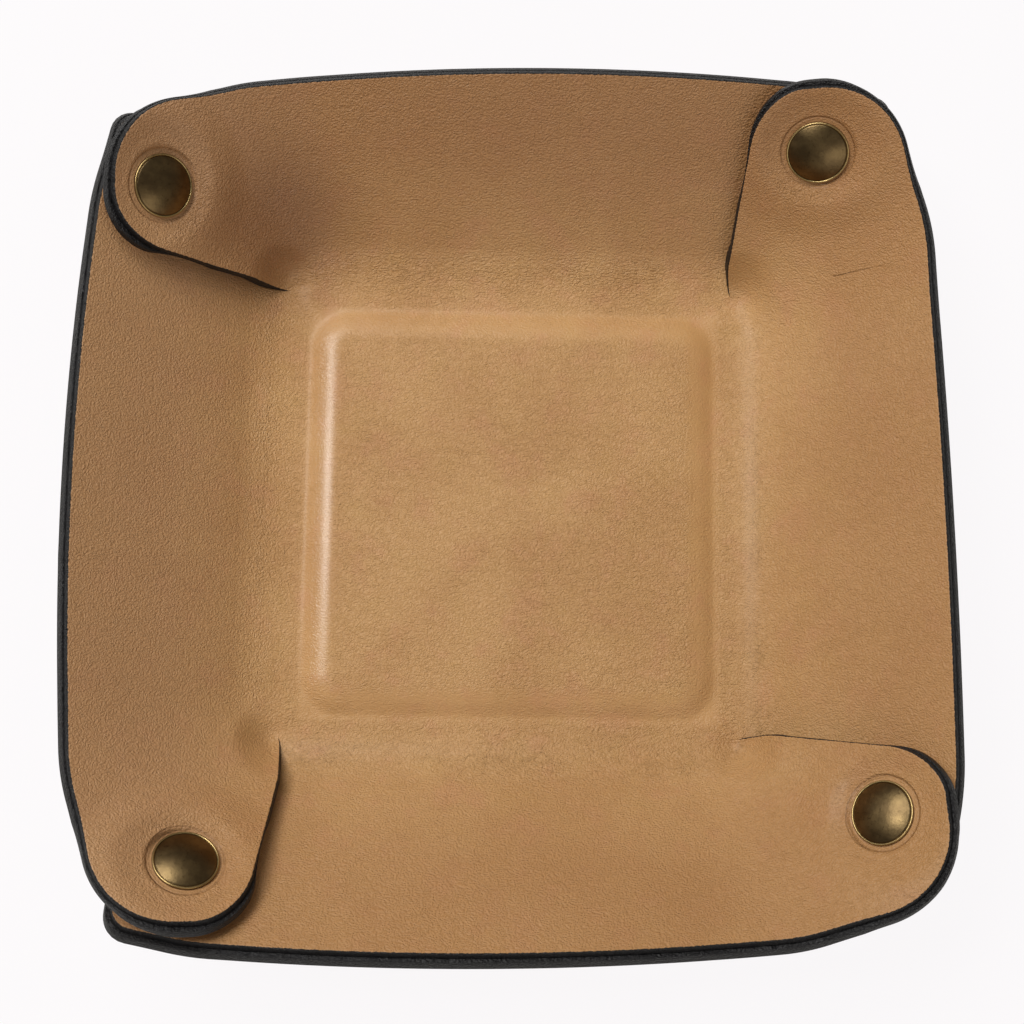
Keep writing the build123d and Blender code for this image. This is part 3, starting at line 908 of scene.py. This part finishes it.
refinish("base_board", stiffener)
for side in SIDES:
    piece = spun_piece(f"{side}_snap_cap", cap_section(), side, cap_brass)
    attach(piece, f"lobe_{side}")
    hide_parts(f"cap_{side}")
    refinish(f"socket_{side}", snap_brass)
    refinish(f"stud_{side}", snap_brass)
    refinish(f"post_{side}", snap_brass)
    refinish(f"socket_spring_{side}", spring_wire)


def blended_shader(tree, share, first, second):
    """A Mix Shader between two shader outputs."""
    made = tree.nodes.new("ShaderNodeMixShader")
    feed(tree, made.inputs[0], share)
    tree.links.new(first.socket, made.inputs[1])
    tree.links.new(second.socket, made.inputs[2])
    return Signal(tree, made.outputs[0])


# Ground: pale paper that keeps a faint shadow
ground_mesh = bpy.data.meshes.new("ground")
bm = bmesh.new()
bmesh.ops.create_grid(bm, x_segments=1, y_segments=1, size=3.0)
bm.to_mesh(ground_mesh)
bm.free()
ground = bpy.data.objects.new("ground", ground_mesh)
ground.location.z = -0.0002
bpy.context.scene.collection.objects.link(ground)
paper_material, tree, shader = new_material("pale_paper")
shader.inputs["Base Color"].default_value = (0.86, 0.86, 0.86, 1.0)
shader.inputs["Roughness"].default_value = 0.9
lit = Signal(tree, shader.outputs[0])
white = node(tree, "ShaderNodeEmission", {}, {"Color": (0.985, 0.965, 0.975, 1.0), "Strength": 1.0})
seen = node(tree, "ShaderNodeLightPath", {}, {}, "Is Camera Ray") * 0.94
paper_output = next(n for n in tree.nodes if n.type == "OUTPUT_MATERIAL")
tree.links.new(blended_shader(tree, seen, lit, white).socket, paper_output.inputs["Surface"])
ground_mesh.materials.append(paper_material)

# World: white to the camera, a dim room to everything else
world = bpy.data.worlds.new("studio")
bpy.context.scene.world = world
world.use_nodes = True
tree = world.node_tree
tree.nodes.clear()
room = node(tree, "ShaderNodeBackground", {}, {"Color": (1.0, 0.94, 0.87, 1.0), "Strength": 0.23})
paper = node(tree, "ShaderNodeBackground", {}, {"Color": (0.985, 0.965, 0.975, 1.0), "Strength": 0.97})
is_camera = node(tree, "ShaderNodeLightPath", {}, {}, "Is Camera Ray")
world_output = tree.nodes.new("ShaderNodeOutputWorld")
tree.links.new(blended_shader(tree, is_camera, room, paper).socket, world_output.inputs["Surface"])


def area_light(name, place, size, power, colour):
    """A rectangular light that faces the tray."""
    data = bpy.data.lights.new(name, "AREA")
    data.shape = "RECTANGLE"
    data.size, data.size_y = size
    data.energy = power
    data.color = colour
    light = bpy.data.objects.new(name, data)
    light.location = place
    light.rotation_mode = "QUATERNION"
    light.rotation_quaternion = (-Vector(place)).to_track_quat("-Z", "Y")
    bpy.context.scene.collection.objects.link(light)


area_light("window", (-0.42, 0.62, 0.92), (0.75, 0.60), 9.3, (1.0, 0.985, 0.96))
area_light("window_left", (-0.60, 0.17, 1.03), (0.17, 0.34), 3.5, (1.0, 0.985, 0.955))
area_light("window_low", (-0.93, 0.43, 0.40), (0.25, 0.25), 0.4, (1.0, 0.99, 0.97))
area_light("fill", (0.40, -0.86, 0.62), (0.9, 0.7), 2.8, (1.0, 0.95, 0.89))

# Camera: above the tray, leaning a little towards the front
FRAME_HALF, FOCAL_LENGTH = 512, 1519.8
camera_data = bpy.data.cameras.new("camera")
camera_data.sensor_fit = "HORIZONTAL"
camera_data.angle = 2 * atan(FRAME_HALF / FOCAL_LENGTH)
camera = bpy.data.objects.new("camera", camera_data)
bpy.context.scene.collection.objects.link(camera)
pitch, yaw, roll = -0.1479, 0.0293, -0.0184
to_camera = Matrix.Rotation(roll, 3, "Z") @ Matrix.Rotation(yaw, 3, "Y")
to_camera = to_camera @ Matrix.Rotation(pitch, 3, "X")
camera.rotation_mode = "QUATERNION"
camera.rotation_quaternion = to_camera.transposed().to_quaternion()
camera.location = Vector((-10.86, -56.49, 379.5 + LEATHER)) * MM
camera_data.clip_start = 0.01
bpy.context.scene.camera = camera

scene = bpy.context.scene
scene.view_settings.view_transform = "Standard"

bpy.context.view_layer.update()
